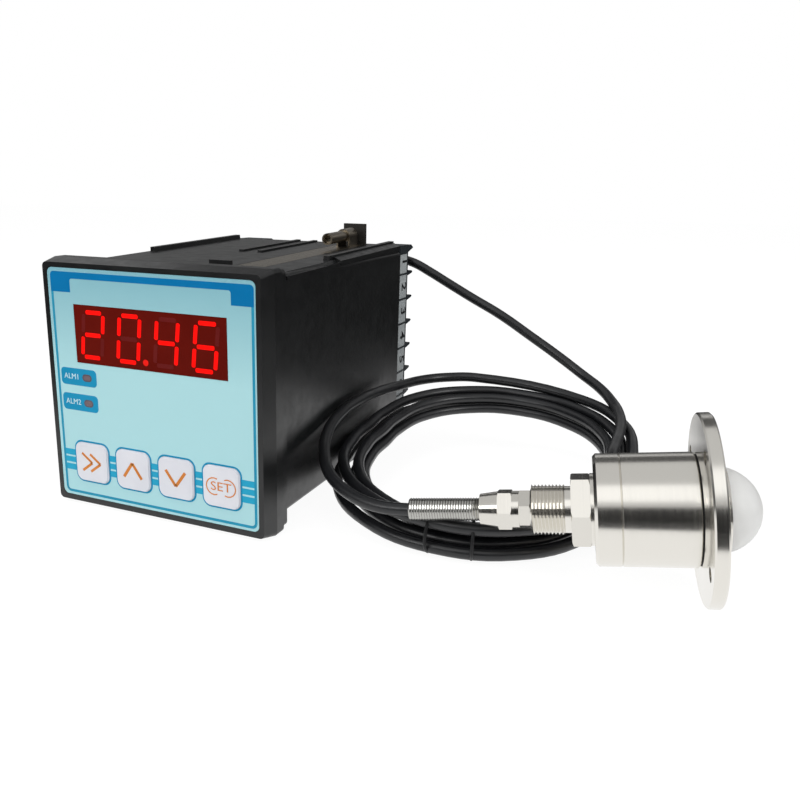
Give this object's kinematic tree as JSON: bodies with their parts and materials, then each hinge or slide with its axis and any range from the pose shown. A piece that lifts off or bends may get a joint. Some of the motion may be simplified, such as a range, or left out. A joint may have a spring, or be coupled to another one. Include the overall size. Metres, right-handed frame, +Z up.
{
  "type": "radar level transmitter",
  "caption": "Radar level measuring set: square panel meter with red digits and push keys, a tied coil of signal cable and a flanged steel sensor head with a white domed lens.",
  "frame": {"origin": "centre of the flat land under the panel meter's bezel, on the surface the set stands on", "axes": "+X from the meter towards the sensor head, -Y the way the display faces, +Z up"},
  "size_m": [0.2498, 0.1633, 0.1054],
  "materials": {
    "black_abs": "fine satin grain",
    "overlay": "printed film, satin",
    "red_window": "smoky red, glossy",
    "display_module": "dark, matt",
    "red_led": "unlit, clear red",
    "key_plastic": "satin white",
    "dark_plastic": "matt",
    "circuit_board": "solder mask, satin",
    "zinc_steel": "zinc plated",
    "dark_steel": "blackened, satin",
    "terminal_plastic": "dark grey, matt",
    "stainless": "fine turned, polished",
    "rubber": "matt black",
    "white_ptfe": "white, soft sheen",
    "brass": "plain",
    "nickel": "nickel plated",
    "spring_steel": "bright wire",
    "cable_sheath": "smooth black sheath, soft sheen",
    "core_insulation": "smooth insulation",
    "tie_plastic": "black"
  },
  "bodies": {
    "set": {"bezel": "black_abs", "front_overlay": "overlay", "display_window": "red_window", "led_display": "display_module", "alarm_leds": "red_led", "tact_switches": "dark_plastic", "display_board": "circuit_board", "board_screws": "zinc_steel", "case_sleeve": "black_abs", "rear_cover": "black_abs", "terminal_block_right": "terminal_plastic", "terminal_block_left": "terminal_plastic", "terminal_screws": "zinc_steel", "terminal_clamps": "zinc_steel", "main_board": "circuit_board", "power_board": "circuit_board", "transformer": "dark_steel", "relays": "dark_plastic", "capacitors": "dark_plastic", "clamp_plate": "dark_steel", "front_flange": "stainless", "flange_seal": "rubber", "sensor_body": "stainless", "rear_cap": "stainless", "lens_dome": "white_ptfe", "radar_board": "circuit_board", "signal_board": "circuit_board", "board_spacers": "brass", "cable_nipple": "stainless", "lock_nut": "nickel", "gland_body": "nickel", "gland_collar": "nickel", "gland_nut": "nickel", "gland_seal": "rubber", "strain_spring": "spring_steel", "cable_sensor_run": "cable_sheath", "cable_coil": "cable_sheath", "cable_meter_run": "cable_sheath", "cable_cores": "core_insulation", "cable_ties": "tie_plastic"},
    "key_shift": {"key_shift": "key_plastic"},
    "key_up": {"key_up": "key_plastic"},
    "key_down": {"key_down": "key_plastic"},
    "key_set": {"key_set": "key_plastic"},
    "clamp_bar": {"clamp_bar": "zinc_steel"},
    "clamp_screw": {"clamp_screw": "zinc_steel"}
  },
  "joints": [
    {"name": "key_shift_press", "type": "slide", "parent": "set", "child": "key_shift", "axis": [0, 1, 0], "range_m": [0, 0.0005], "stiffness_N_per_m": 1500, "springref_m": -0.0008},
    {"name": "key_up_press", "type": "slide", "parent": "set", "child": "key_up", "axis": [0, 1, 0], "range_m": [0, 0.0005], "stiffness_N_per_m": 1500, "springref_m": -0.0008},
    {"name": "key_down_press", "type": "slide", "parent": "set", "child": "key_down", "axis": [0, 1, 0], "range_m": [0, 0.0005], "stiffness_N_per_m": 1500, "springref_m": -0.0008},
    {"name": "key_set_press", "type": "slide", "parent": "set", "child": "key_set", "axis": [0, 1, 0], "range_m": [0, 0.0005], "stiffness_N_per_m": 1500, "springref_m": -0.0008},
    {"name": "clamp_slide", "type": "slide", "parent": "set", "child": "clamp_bar", "axis": [0, -0.9997, -0.0237], "range_m": [0, 0.006]},
    {"name": "clamp_screw_turn", "type": "hinge", "parent": "set", "child": "clamp_screw", "pos_m": [0.024, 0.11779, 0.10054], "axis": [0, -0.9997, -0.0237], "range_deg": [0, 4320]}
  ],
  "couplings": [
    {"joint": "clamp_screw_turn", "follows": "clamp_slide", "rad_per_m": 12566}
  ]
}
